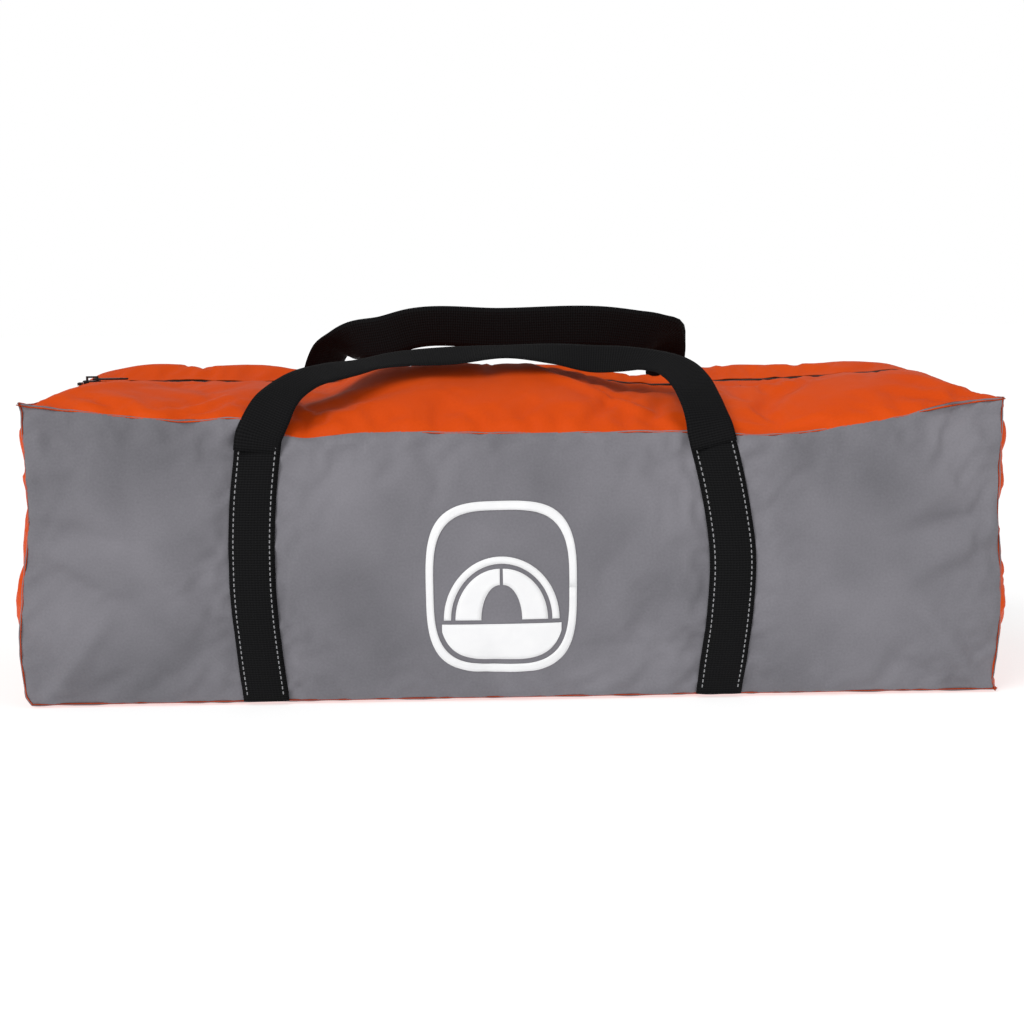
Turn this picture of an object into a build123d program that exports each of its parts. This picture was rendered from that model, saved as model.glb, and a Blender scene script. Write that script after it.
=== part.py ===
"""Tunnel tent packed in its zipped carry bag, millimetres.

X runs along the bag, Y from the front panel to the rear panel, Z up.
The origin is the middle of the base.
"""

import os
from math import cos, radians, sin, sqrt

from build123d import *

os.makedirs("parts", exist_ok=True)

# ---- Driving dimensions ----
BAG_LENGTH = 680.0
BASE_HALF_WIDTH = 103.0
SIDE_BULGE_Y = 121.0
SIDE_BULGE_Z = 98.0
EAR_Y = 110.5
EAR_Z = 212.0
SEAM_Z = 190.5
CLOTH = 1.2
GAP = 0.3

# Top panels, which fold outward about the top seams once the zip is open
FLAP_HALF_LENGTH = 246.0
FLAP_START = (-110.5, 192.5)
FLAP_MIDDLE = (-60.5, 212.5)
FLAP_END = (-8.0, 222.0)
SHOULDER_X = 323.0
END_CROWN_Z = 213.0

# Zip
SLOT_HALF_WIDTH = 9.0
SLOT_END_X = 322.0
TAPE = 0.7
TAPE_INNER_Y = 3.4
TAPE_OUTER_Y = 20.0
COIL_INNER_Y = 0.7
COIL_OUTER_Y = 3.2
COIL_BOTTOM_Z = 219.6
COIL_TOP_Z = 221.6
COIL_END_X = 302.0
SLIDER_X = -310.0
SLIDER_LENGTH = 12.0
SLIDER_WIDTH = 9.2
SLIDER_PLATE = 1.0
SLIDER_WEB = 0.8
SLIDER_WEB_LENGTH = 4.0
SLIDER_CLEARANCE = 0.4
STOP_LENGTH = 3.0
PULL_AXIS = (-308.0, 224.0)
PULL_LENGTH = 25.0
PULL_WIDTH = 6.0
PULL_THICKNESS = 1.2

# Handles
WEBBING_WIDTH = 32.0
WEBBING = 2.2
SEWN_TOP_Z = 180.0
HANDLE_CENTRE_X = -15.0
HANDLE_HALF_SPACING = 155.0
HANDLE_AXIS_Y = 117.5
HANDLE_AXIS_Z = 196.0
HANDLE_REACH = 84.0
GRIP_HALF_LENGTH = 105.0
SHOULDER_REACH = 30.0
HANDLE_BEND = 34.0
FRONT_LEAN = 30.0
REAR_LEAN = 51.0

# Packed tent
GROUNDSHEET_X = (-300.0, 300.0)
GROUNDSHEET_Y = (-88.0, 88.0)
GROUNDSHEET_Z = (4.0, 24.0)
ROLL_RADIUS = 48.0
ROLL_Y = 50.3
ROLL_Z = 74.2
ROLL_LENGTH = 590.0
TIE_X = 170.0
TIE_WIDTH = 25.0
TIE = 1.4
BUCKLE = (TIE_WIDTH + 8, 4.0, 26.0)
BUCKLE_SLOT = (TIE_WIDTH, 6.0, 5.0)
BUCKLE_SLOT_Z = 6.5
POLE_BAG_RADIUS = 27.5
POLE_BAG_Z = 134.2
POLE_BAG_LENGTH = 640.0
TUBE_RADIUS = 4.25
TUBE_LENGTH = 590.0
TUBE_BORE_RADIUS = 2.0
TUBE_PITCH = 10.4
FERRULE_RADIUS = 5.0
FERRULE_LENGTH = 50.0
FERRULE_X = TUBE_LENGTH / 2 - 12
TIP_RADIUS = 3.0
TIP_LENGTH = 14.0
PEG_RADIUS = 2.0
PEG_LENGTH = 180.0
PEG_COUNT = 12
PEG_HOOK = 9.0
PEG_BEND = 3.5
PEG_SPACING = 8.2
PEG_LAYER_HEIGHT = 13.0
PEG_START = (8.0, 9.0, 4.5)
PEG_BAG_X = (-210.0, -5.0)
PEG_BAG_Y = (-92.0, -32.0)
PEG_BAG_Z = (126.0, 158.0)

# Transfer print on the front panel
PRINT_WIDTH = 104.0
PRINT_LOW_Z = 30.0
PRINT_HIGH_Z = 146.0
PRINT = 0.2

INSIDE_X = BAG_LENGTH / 2 - CLOTH - GAP
SIDE_ARC = ((-BASE_HALF_WIDTH, 0.0), (-SIDE_BULGE_Y, SIDE_BULGE_Z), (-EAR_Y, EAR_Z))
FLAP_ARC = (FLAP_START, FLAP_MIDDLE, FLAP_END)


# ---- Helpers ----
def circle_centre(arc):
    """Centre of the circle through three (y, z) points."""
    (ax, ay), (bx, by), (cx, cy) = arc
    double_area = 2 * (ax * (by - cy) + bx * (cy - ay) + cx * (ay - by))
    a2, b2, c2 = ax**2 + ay**2, bx**2 + by**2, cx**2 + cy**2
    x = (a2 * (by - cy) + b2 * (cy - ay) + c2 * (ay - by)) / double_area
    y = (a2 * (cx - bx) + b2 * (ax - cx) + c2 * (bx - ax)) / double_area
    return x, y


def deeper(arc, depth):
    """The same arc, moved towards its own centre by depth."""
    cx, cy = circle_centre(arc)
    points = []
    for x, y in arc:
        share = depth / sqrt((x - cx) ** 2 + (y - cy) ** 2)
        points.append((x + (cx - x) * share, y + (cy - y) * share))
    return points


def band(arc, thickness):
    """Face between an arc and its copy, thickness nearer to the centre."""
    outer, inner = list(arc), deeper(arc, thickness)
    edges = [
        ThreePointArc(*outer),
        Line(outer[2], inner[2]),
        ThreePointArc(*reversed(inner)),
        Line(inner[0], outer[0]),
    ]
    return make_face(Curve() + edges)


def along_x(face, x_start, x_end):
    """Extrude a face drawn in (y, z) from one x to another."""
    return Pos(x_start, 0, 0) * extrude(Plane.YZ * face, x_end - x_start)


def block(x, y, z):
    """Box from (low, high) pairs."""
    size = [high - low for low, high in (x, y, z)]
    middle = [(high + low) / 2 for low, high in (x, y, z)]
    return Pos(*middle) * Box(*size)


def rod(radius, length, x, y, z):
    """Cylinder along X with its middle at (x, y, z)."""
    return Pos(x, y, z) * Rot(0, 90, 0) * Cylinder(radius, length)


def to_rear(shape):
    return mirror(shape, about=Plane.XZ)


def to_right(shape):
    return mirror(shape, about=Plane.YZ)


def group(shapes):
    return Compound(children=[solid for shape in shapes for solid in shape.solids()])


# ---- Bag panels ----
def front_panel():
    sheet = along_x(band(SIDE_ARC, CLOTH), -INSIDE_X, INSIDE_X)
    top_edge = Polyline(
        (-INSIDE_X, EAR_Z + CLOTH),
        (-INSIDE_X, EAR_Z - 2 * CLOTH),
        (-SHOULDER_X, SEAM_Z),
        (SHOULDER_X, SEAM_Z),
        (INSIDE_X, EAR_Z - 2 * CLOTH),
        (INSIDE_X, EAR_Z + CLOTH),
        close=True,
    )
    cut = extrude(Plane.XZ * make_face(top_edge), 2 * SIDE_BULGE_Y)
    return sheet - cut


def front_print():
    """Thin printed badge on the middle of the front panel."""
    outer = deeper(SIDE_ARC, -PRINT - 0.05)
    film = along_x(band(outer, PRINT), -PRINT_WIDTH / 2, PRINT_WIDTH / 2)
    x, y = (-PRINT_WIDTH / 2, PRINT_WIDTH / 2), (-2 * SIDE_BULGE_Y, 0)
    return film & block(x, y, (PRINT_LOW_Z, PRINT_HIGH_Z))


def bottom_panel():
    half = BASE_HALF_WIDTH - 2 * CLOTH
    return block((-INSIDE_X, INSIDE_X), (-half, half), (0, CLOTH))


def end_panel():
    front = [Vector(y, z) for y, z in SIDE_ARC]
    rear = [Vector(-y, z) for y, z in reversed(SIDE_ARC)]
    outline = [
        ThreePointArc(*front),
        Line(front[2], rear[0]),
        ThreePointArc(*rear),
        Line(rear[2], front[0]),
    ]
    face = make_face(Curve() + outline)
    return along_x(face, -BAG_LENGTH / 2, -BAG_LENGTH / 2 + CLOTH)


def flap_panel():
    return along_x(band(FLAP_ARC, CLOTH), -FLAP_HALF_LENGTH, FLAP_HALF_LENGTH)


def whole_arch(seam, crown_z):
    """Top section from the front seam's (y, z) to the rear seam."""
    seam_y, seam_z = seam
    return band((seam, (0.0, crown_z), (-seam_y, seam_z)), CLOTH)


def top_end_panel():
    """Fixed left end of the top: an arch that falls to the end seam."""
    slot_x = FLAP_HALF_LENGTH + GAP
    shoulder_arch = whole_arch(FLAP_START, FLAP_END[1])
    ear = (2 * CLOTH - EAR_Y, EAR_Z - 2 * CLOTH)
    end_arch = whole_arch(ear, END_CROWN_Z)
    level = along_x(shoulder_arch, -SHOULDER_X, -slot_x)
    sections = [
        Pos(-INSIDE_X, 0, 0) * (Plane.YZ * end_arch),
        Pos(-SHOULDER_X, 0, 0) * (Plane.YZ * shoulder_arch),
    ]
    slot_y = (-SLOT_HALF_WIDTH, SLOT_HALF_WIDTH)
    slot = block((-SLOT_END_X, -slot_x + 1), slot_y, (SEAM_Z, EAR_Z + 20))
    return level + loft(sections, ruled=True) - slot


# ---- Zip ----
def arc_to(arc, y_end):
    """The same circle's arc, carried on to another y."""
    cx, cy = circle_centre(arc)
    radius = sqrt((arc[0][0] - cx) ** 2 + (arc[0][1] - cy) ** 2)
    return arc[0], arc[1], (y_end, cy + sqrt(radius**2 - (y_end - cx) ** 2))


def tape(x_start, x_end):
    """Front zip tape, under the edge of the top panel."""
    arc = deeper(FLAP_ARC, CLOTH + 0.1)
    strip = along_x(band(arc_to(arc, -TAPE_INNER_Y), TAPE), x_start, x_end)
    keep = block((x_start, x_end), (-TAPE_OUTER_Y, -TAPE_INNER_Y), (SEAM_Z, EAR_Z + 20))
    return strip & keep


def coil(x_start, x_end):
    """Front half of the tooth row."""
    y = (-COIL_OUTER_Y, -COIL_INNER_Y)
    return block((x_start, x_end), y, (COIL_BOTTOM_Z, COIL_TOP_Z))


def top_stops():
    """Two small clips on the tape edges beyond the parked slider."""
    x_end = SLIDER_X - SLIDER_LENGTH / 2 - 1
    x = (x_end - STOP_LENGTH, x_end)
    y = (-TAPE_INNER_Y + 0.1, -COIL_INNER_Y)
    clip = block(x, y, (COIL_BOTTOM_Z, COIL_TOP_Z))
    return group([clip, to_rear(clip)])


def bottom_stop():
    x = (COIL_END_X + GAP, COIL_END_X + STOP_LENGTH)
    return block(x, (-COIL_OUTER_Y, COIL_OUTER_Y), (COIL_BOTTOM_Z, COIL_TOP_Z))


def slider():
    x = (SLIDER_X - SLIDER_LENGTH / 2, SLIDER_X + SLIDER_LENGTH / 2)
    y = (-SLIDER_WIDTH / 2, SLIDER_WIDTH / 2)
    top_z = COIL_TOP_Z + SLIDER_CLEARANCE
    low_z = COIL_BOTTOM_Z - SLIDER_CLEARANCE - 0.1
    top = block(x, y, (top_z, top_z + SLIDER_PLATE))
    low = block(x, y, (low_z - SLIDER_PLATE, low_z))
    web_x = (x[0], x[0] + SLIDER_WEB_LENGTH)
    web = block(web_x, (-SLIDER_WEB / 2, SLIDER_WEB / 2), (low_z - 0.1, top_z + 0.1))
    axis_x, axis_z = PULL_AXIS
    arch_x = (axis_x - 6, axis_x + 3)
    arch_base = top_z + SLIDER_PLATE - 0.1
    arch = block(arch_x, (-0.9, 0.9), (arch_base, axis_z + 2.2))
    eye = block((arch_x[0] + 1.4, arch_x[1] - 1.4), (-1, 1), (axis_z - 1, axis_z + 0.9))
    corners = top.edges().filter_by(Axis.Z)
    return fillet(corners, 1.5) + low + web + (arch - eye)


def pull_tab():
    """Flat tab with a cross pin through the slider's arch, lying along the zip."""
    axis_x, axis_z = PULL_AXIS
    half = PULL_WIDTH / 2
    plate_x = (axis_x + 4.5, axis_x + PULL_LENGTH)
    z = (axis_z - PULL_THICKNESS / 2, axis_z + PULL_THICKNESS / 2)
    plate = block(plate_x, (-half, half), z)
    plate = fillet(plate.edges().filter_by(Axis.Z).sort_by(Axis.X)[-2:], 2.5)
    hole = Pos(plate_x[1] - 5, 0, axis_z) * Cylinder(1.5, 2 * PULL_THICKNESS)
    arm = block((axis_x, plate_x[0] + 0.1), (1.5, half), z)
    pin = Pos(axis_x, 0, axis_z) * Rot(90, 0, 0) * Cylinder(0.7, PULL_WIDTH)
    return plate - hole + arm + to_rear(arm) + pin


# ---- Webbing ----
def sewn_webbing(side):
    """Webbing sewn on the front panel; side is -1 for left, 1 for right."""
    outer = deeper(SIDE_ARC, -GAP - WEBBING)
    middle_x = HANDLE_CENTRE_X + side * HANDLE_HALF_SPACING
    x_start = middle_x - WEBBING_WIDTH / 2
    x_end = middle_x + WEBBING_WIDTH / 2
    strip = along_x(band(outer, WEBBING), x_start, x_end)
    height = (2 * CLOTH, SEWN_TOP_Z)
    return strip & block((x_start, x_end), (-2 * SIDE_BULGE_Y, 0), height)


def grip(lean):
    """Free loop of a front handle, in a plane leaning inward over the bag."""
    start_reach = 3.0
    path = FilletPolyline(
        (-HANDLE_HALF_SPACING, start_reach),
        (-HANDLE_HALF_SPACING, SHOULDER_REACH),
        (-GRIP_HALF_LENGTH, HANDLE_REACH),
        (GRIP_HALF_LENGTH, HANDLE_REACH),
        (HANDLE_HALF_SPACING, SHOULDER_REACH),
        (HANDLE_HALF_SPACING, start_reach),
        radius=HANDLE_BEND,
    )
    section = Plane(origin=path @ 0, x_dir=(1, 0, 0), z_dir=path % 0)
    loop = sweep(section * Rectangle(WEBBING_WIDTH, WEBBING), path=path)
    slope = radians(lean)
    plane = Plane(
        origin=(HANDLE_CENTRE_X, -HANDLE_AXIS_Y, HANDLE_AXIS_Z),
        x_dir=(1, 0, 0),
        z_dir=(0, -sin(slope), cos(slope)),
    )
    return plane * loop


# ---- Packed tent ----
def groundsheet():
    sheet = block(GROUNDSHEET_X, GROUNDSHEET_Y, GROUNDSHEET_Z)
    return fillet(sheet.edges().filter_by(Axis.X), 8)


def roll(y):
    body = rod(ROLL_RADIUS, ROLL_LENGTH, 0, y, ROLL_Z)
    return fillet(body.edges().filter_by(GeomType.CIRCLE), 8)


def ties(y):
    """Two webbing ties round one roll."""
    outer = ROLL_RADIUS + GAP / 2 + TIE
    rings = []
    for x in (-TIE_X, TIE_X):
        ring = rod(outer, TIE_WIDTH, x, y, ROLL_Z)
        rings.append(ring - rod(outer - TIE, TIE_WIDTH + 2, x, y, ROLL_Z))
    return group(rings)


def tie_buckles():
    """Ladder-lock frame on the outer side of each tie."""
    base = ROLL_RADIUS + TIE + GAP
    frames = []
    for y_side in (-1, 1):
        for x in (-TIE_X, TIE_X):
            frame = Box(*BUCKLE)
            slot = Pos(0, 0, BUCKLE_SLOT_Z) * Box(*BUCKLE_SLOT)
            low_slot = Pos(0, 0, -BUCKLE_SLOT_Z) * Box(*BUCKLE_SLOT)
            place = Pos(x, y_side * (ROLL_Y + base + BUCKLE[1] / 2 + GAP), ROLL_Z)
            frames.append(place * (frame - slot - low_slot))
    return group(frames)


def pole_bag():
    outer = rod(POLE_BAG_RADIUS, POLE_BAG_LENGTH, 0, 0, POLE_BAG_Z)
    outer = fillet(outer.edges().filter_by(GeomType.CIRCLE), 6)
    return outer - rod(POLE_BAG_RADIUS - 1, POLE_BAG_LENGTH - 2 * 7, 0, 0, POLE_BAG_Z)


def pole_places():
    """Eighteen tube places, six for each of the three hoops."""
    inner, outer = [], []
    for turn in range(6):
        corner = Vector(TUBE_PITCH, 0).rotate(Axis.Z, 60 * turn)
        following = Vector(TUBE_PITCH, 0).rotate(Axis.Z, 60 * turn + 60)
        inner.append(corner)
        outer.append((corner * 2, corner + following))
    return inner, [pair[0] for pair in outer], [pair[1] for pair in outer]


def hoop_sections(places):
    tubes = []
    for place in places:
        y, z = place.X, POLE_BAG_Z + place.Y
        tube = rod(TUBE_RADIUS, TUBE_LENGTH, 0, y, z)
        tubes.append(tube - rod(TUBE_BORE_RADIUS, TUBE_LENGTH + 2, 0, y, z))
    return group(tubes)


def hoop_ferrules(places):
    """Steel sleeves, half on the tube, on all but the last section."""
    sleeves = []
    for place in places[:-1]:
        y, z = place.X, POLE_BAG_Z + place.Y
        sleeve = rod(FERRULE_RADIUS, FERRULE_LENGTH, FERRULE_X, y, z)
        inner = rod(TUBE_RADIUS + 0.05, FERRULE_LENGTH + 2, FERRULE_X, y, z)
        sleeves.append(sleeve - inner)
    return group(sleeves)


def pole_tips(hoops):
    """Steel end tips, one on the last section of each hoop and one on the first."""
    tips = []
    for places in hoops:
        for place, end in ((places[0], -1), (places[-1], 1)):
            x = end * (TUBE_LENGTH / 2 + TIP_LENGTH / 2 + 0.1)
            tips.append(rod(TIP_RADIUS, TIP_LENGTH, x, place.X, POLE_BAG_Z + place.Y))
    return group(tips)


def peg_bag():
    outer = block(PEG_BAG_X, PEG_BAG_Y, PEG_BAG_Z)
    wall = 1.0
    room = [(low + wall, high - wall) for low, high in (PEG_BAG_X, PEG_BAG_Y, PEG_BAG_Z)]
    return fillet(outer.edges().filter_by(Axis.X), 6) - fillet(
        block(*room).edges().filter_by(Axis.X), 5
    )


def pegs():
    """Hooked wire pegs in two layers."""
    per_layer = PEG_COUNT // 2
    shapes = []
    for number in range(PEG_COUNT):
        layer, column = divmod(number, per_layer)
        x = PEG_BAG_X[0] + PEG_START[0]
        y = PEG_BAG_Y[0] + PEG_START[1] + column * PEG_SPACING
        z = PEG_BAG_Z[0] + PEG_START[2] + layer * PEG_LAYER_HEIGHT
        line = FilletPolyline(
            (x, y, z),
            (x + PEG_LENGTH, y, z),
            (x + PEG_LENGTH, y, z + PEG_HOOK),
            (x + PEG_LENGTH - PEG_HOOK, y, z + PEG_HOOK),
            radius=PEG_BEND,
        )
        section = Plane(origin=line @ 0, z_dir=line % 0)
        shapes.append(sweep(section * Circle(PEG_RADIUS), path=line))
    return group(shapes)


# ---- Assembly ----
def bag_nodes():
    front = front_panel()
    end = end_panel()
    top_end = top_end_panel()
    flap = flap_panel()
    return {
        "front_panel": front,
        "rear_panel": to_rear(front),
        "bottom_panel": bottom_panel(),
        "front_print": front_print(),
        "left_end_panel": end,
        "right_end_panel": to_right(end),
        "left_top_panel": top_end,
        "right_top_panel": to_right(top_end),
        "front_top_panel": flap,
        "rear_top_panel": to_rear(flap),
    }


def zip_nodes():
    edge = FLAP_HALF_LENGTH + GAP
    flap_tape = tape(-FLAP_HALF_LENGTH, FLAP_HALF_LENGTH)
    flap_coil = coil(-FLAP_HALF_LENGTH, FLAP_HALF_LENGTH)
    end_tape = tape(-SLOT_END_X, -edge)
    end_coil = coil(-COIL_END_X, -edge)
    end_tapes = group([end_tape, to_rear(end_tape)])
    end_coils = group([end_coil, to_rear(end_coil)])
    return {
        "zip_tape_front": flap_tape,
        "zip_tape_rear": to_rear(flap_tape),
        "zip_coil_front": flap_coil,
        "zip_coil_rear": to_rear(flap_coil),
        "zip_tape_left_end": end_tapes,
        "zip_tape_right_end": group([to_right(s) for s in end_tapes.solids()]),
        "zip_coil_left_end": end_coils,
        "zip_coil_right_end": group([to_right(s) for s in end_coils.solids()]),
        "zip_top_stops": top_stops(),
        "zip_bottom_stop": bottom_stop(),
        "zip_slider": slider(),
        "zip_pull_tab": pull_tab(),
    }


def webbing_nodes():
    left, right = sewn_webbing(-1), sewn_webbing(1)
    return {
        "front_left_webbing": left,
        "front_right_webbing": right,
        "rear_left_webbing": to_rear(left),
        "rear_right_webbing": to_rear(right),
        "front_handle_grip": grip(FRONT_LEAN),
        "rear_handle_grip": to_rear(grip(REAR_LEAN)),
    }


def tent_nodes():
    hoops = pole_places()
    nodes = {
        "groundsheet_fold": groundsheet(),
        "inner_tent_roll": roll(-ROLL_Y),
        "flysheet_roll": roll(ROLL_Y),
        "inner_tent_ties": ties(-ROLL_Y),
        "flysheet_ties": ties(ROLL_Y),
        "tie_buckles": tie_buckles(),
        "pole_bag": pole_bag(),
        "pole_end_tips": pole_tips(hoops),
        "peg_bag": peg_bag(),
        "tent_pegs": pegs(),
    }
    for name, places in zip(("front", "middle", "rear"), hoops):
        nodes[f"{name}_hoop_sections"] = hoop_sections(places)
        nodes[f"{name}_hoop_ferrules"] = hoop_ferrules(places)
    return nodes


def main():
    nodes = bag_nodes() | zip_nodes() | webbing_nodes() | tent_nodes()
    for name, shape in nodes.items():
        export_step(shape, f"parts/{name}.step")
        print(name, len(shape.solids()))


main()
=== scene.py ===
"""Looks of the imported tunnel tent: its zipped carry bag, handles and rolled contents.

Shapes are worked out in millimetres in the CAD frame and turned to metres when a mesh is made.
"""

import math

import bpy
import numpy as np
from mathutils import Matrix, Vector
from mathutils.bvhtree import BVHTree


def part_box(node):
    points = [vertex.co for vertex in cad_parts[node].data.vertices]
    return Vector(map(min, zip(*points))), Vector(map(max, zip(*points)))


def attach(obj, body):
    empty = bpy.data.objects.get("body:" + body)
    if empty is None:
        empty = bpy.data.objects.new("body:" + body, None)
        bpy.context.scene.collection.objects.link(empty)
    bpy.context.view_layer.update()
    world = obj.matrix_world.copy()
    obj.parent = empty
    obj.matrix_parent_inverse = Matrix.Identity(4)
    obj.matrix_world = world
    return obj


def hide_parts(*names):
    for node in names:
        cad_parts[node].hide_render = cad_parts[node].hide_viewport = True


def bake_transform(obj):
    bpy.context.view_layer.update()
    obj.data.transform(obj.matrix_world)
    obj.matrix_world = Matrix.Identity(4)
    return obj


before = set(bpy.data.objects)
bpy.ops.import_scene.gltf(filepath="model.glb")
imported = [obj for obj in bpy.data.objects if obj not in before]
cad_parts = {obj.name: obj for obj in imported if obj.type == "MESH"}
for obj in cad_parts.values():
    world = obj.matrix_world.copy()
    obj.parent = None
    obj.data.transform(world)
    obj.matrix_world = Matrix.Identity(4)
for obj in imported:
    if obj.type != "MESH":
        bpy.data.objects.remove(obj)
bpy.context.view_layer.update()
MM = 0.001

# ---- Bag, millimetres ----
LENGTH_STEPS, WIDTH_STEPS, HEIGHT_STEPS = 114, 38, 34
TOP_END_X, BASE_END_X = 338.5, 341.5
TOP_END_INSET = 5.0
EAR_Y, MIDDLE_SEAM_Y, BASE_Y = 110.5, 117.0, 103.0
EAR_Z, BASE_SEAM_Z = 212.0, 1.6
SIDE_BULGE, CORNER_BULGE, END_BULGE = 5.0, 6.0, 9.0
SLOT_Y = 5.5
SLOT_END_CELLS = 7
CLOTH = 0.7
SEAM_GROOVE = 1.1
ARCH_ROUNDNESS = 0.82
CREST_SIDE, REAR_CREST_WIDTH, FRONT_CREST_WIDTH = 0.22, 0.12, 0.15  # shares of the half width
FRONT_CREST, FRONT_CREST_X, FRONT_CREST_REACH = 10.0, -38, 85
FLOOR_CLEARANCE = 0.4
SEAM_RELIEF = 0.25  # share of the relief that is left on a seam

# ---- Webbing and zip ----
WEBBING_WIDTH, WEBBING = 32.0, 2.0
STRAP_LOW_Z, STRAP_TOP_Z = 3.0, 190.0
STRAP_BACK, STRAP_FRONT = 0.3, 0.8  # how far the strap's two sides start from the panel
OVER_STRAP = 0.9  # how far a loop's middle lies over the strap's
STITCH_INSET, STITCH_PITCH, STITCH = 3.4, 3.8, 2.5
TAPE_Y, TAPE_END_X, TAPE = 16.0, 322, 0.7
TOOTH_PITCH, TOOTH_REACH = 1.5, 2.9
COIL_END_X = 301.0


# ---- Curves and waves ----
def through(*points):
    """A smooth function through (at, value) points."""
    at, value = np.array(points, float).T
    slope = np.gradient(value, at)

    def curve(x):
        x = np.clip(np.asarray(x, float), at[0], at[-1])
        k = np.clip(np.searchsorted(at, x, side="right") - 1, 0, len(at) - 2)
        step = at[k + 1] - at[k]
        t = (x - at[k]) / step
        start = value[k] * (1 + 2 * t) * (1 - t) ** 2 + slope[k] * step * t * (1 - t) ** 2
        end = value[k + 1] * t * t * (3 - 2 * t) + slope[k + 1] * step * t * t * (t - 1)
        return start + end

    return curve


def waves(x, y, length, seed, count=8):
    """Uneven waves of about one length in many directions, mostly between -1 and 1."""
    draw = np.random.default_rng(seed)
    total = 0.0
    for _ in range(count):
        turn, phase = draw.uniform(0, 2 * math.pi, 2)
        rate = 2 * math.pi / (length * draw.uniform(0.65, 1.5))
        total = total + np.sin(rate * (x * math.cos(turn) + y * math.sin(turn)) + phase)
    return total / math.sqrt(count)


def puckers(along, away, length, reach, seed):
    """Short ridges that run away from a sewn line and die out."""
    crest = waves(along, 0.35 * away, length, seed) + 0.5 * waves(along, away, 0.45 * length, seed + 1)
    return crest * np.exp(-np.maximum(away, 0) / reach)


def fold(x, y, start, end, width, height):
    """A soft ridge, or a valley if height is negative, from start to end."""
    start, end = np.array(start, float), np.array(end, float)
    run = end - start
    share = ((x - start[0]) * run[0] + (y - start[1]) * run[1]) / (run @ run)
    near = np.clip(share, 0, 1)
    apart2 = (x - start[0] - near * run[0]) ** 2 + (y - start[1] - near * run[1]) ** 2
    return height * np.exp(-apart2 / width**2) * (0.45 + 0.55 * np.sin(math.pi * near))


# ---- Seams of the bag ----
front_seam_z = through(
    (-340, 216), (-283, 208.5), (-218, 203), (-185, 204), (-156, 192), (-103, 193.5),
    (0, 191.5), (120, 191), (175, 188.5), (206, 190.5), (259, 198), (302, 207), (340, 211),
)
rear_seam_z = through(
    (-340, 213), (-262, 202), (-196, 200), (-150, 192), (0, 191), (112, 190),
    (170, 200), (230, 201), (290, 207), (340, 212),
)
crown_z = through(
    (-340, 210.5), (-328, 213), (-318, 217.5), (-308, 220.6), (-302, 220.8), (-264, 221.5), (-230, 221),
    (-185, 219.5), (-140, 218.5), (-97, 221.5), (-60, 224), (10, 224.5), (66, 218.5), (100, 214.5),
    (150, 216), (225, 218.5), (265, 221), (298, 221), (306, 218.5), (318, 213.5), (328, 209.5), (340, 207.5),
)
crest_z = through(
    (-340, 0), (-318, 2), (-300, 6), (-272, 10), (-230, 9.5), (-185, 10), (-140, 7), (0, 4.5),
    (100, 5.5), (180, 8), (235, 7), (275, 5), (300, 1), (340, 0),
)
CORNER_X = {
    (-1, -1): through((0, 345), (45, 347), (85, 342), (130, 335.5), (170, 335), (212, 336.5)),
    (1, -1): through((0, 338), (50, 341), (92, 339), (135, 336), (170, 336.5), (212, 337.5)),
    (-1, 1): through((0, 341), (60, 344), (100, 339), (140, 336), (176, 337), (212, 338.5)),
    (1, 1): through((0, 338), (40, 340), (84, 338), (120, 335), (168, 337), (212, 338.5)),
}
FRONT_STRAP_X = (
    through((0, -176), (50, -180), (95, -181.5), (150, -179), (192, -174)),
    through((0, 142.5), (60, 148), (105, 149.5), (150, 143.5), (192, 134)),
)
REAR_STRAP_X = (
    through((0, -168), (90, -170), (192, -163)),
    through((0, 141), (90, 138), (192, 132)),
)


def seam_y(x):
    return MIDDLE_SEAM_Y - (MIDDLE_SEAM_Y - EAR_Y) * np.abs(x / TOP_END_X) ** 5


def top_surface(x, side):
    """Height of the top at x, and side from -1 at the front seam to 1 at the rear seam."""
    seam = np.where(side < 0, front_seam_z(x), rear_seam_z(x))
    arch = (1 - np.abs(side) ** 2) ** ARCH_ROUNDNESS
    rear_crest = crest_z(x) * np.exp(-(((side - CREST_SIDE) / REAR_CREST_WIDTH) ** 2))
    across = np.exp(-(((side + CREST_SIDE) / FRONT_CREST_WIDTH) ** 2))
    front_crest = FRONT_CREST * across * np.exp(-np.abs((x - FRONT_CREST_X) / FRONT_CREST_REACH) ** 4)
    return seam + (crown_z(x) - seam) * arch + rear_crest + front_crest


# ---- Relief of the cloth, outward ----
# Folds: start, end, width and height, with a negative height for a valley.
PANEL_END_FOLDS = [  # at the right end, and mirrored at the left
    ((330, 4), (285, 62), 7, 4.6),
    ((318, 2), (268, 28), 6, -3.2),
    ((336, 196), (268, 128), 12, 4.2),
    ((330, 134), (262, 118), 8, -3.4),
    ((330, 120), (274, 88), 7, 2.8),
]
FRONT_FOLDS = [
    ((-292, 186), (-276, 138), 12, 3.6),
    ((-306, 96), (-226, 52), 22, -4.6),
    ((-136, 112), (-70, 34), 25, -5.4),
    ((-38, 178), (58, 142), 24, -4.8),
    ((-120, 176), (-52, 150), 18, 3.6),
    ((66, 60), (110, 128), 16, 3.0),
    ((246, 186), (292, 150), 14, 4.2),
    ((182, 150), (224, 62), 17, -4.2),
    ((226, 120), (300, 44), 13, 3.4),
]
REAR_FOLDS = [
    ((-280, 170), (-230, 92), 18, 3.0),
    ((-104, 142), (40, 96), 26, -3.4),
    ((72, 168), (108, 84), 16, 2.4),
    ((214, 60), (290, 130), 20, -2.8),
]
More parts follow.
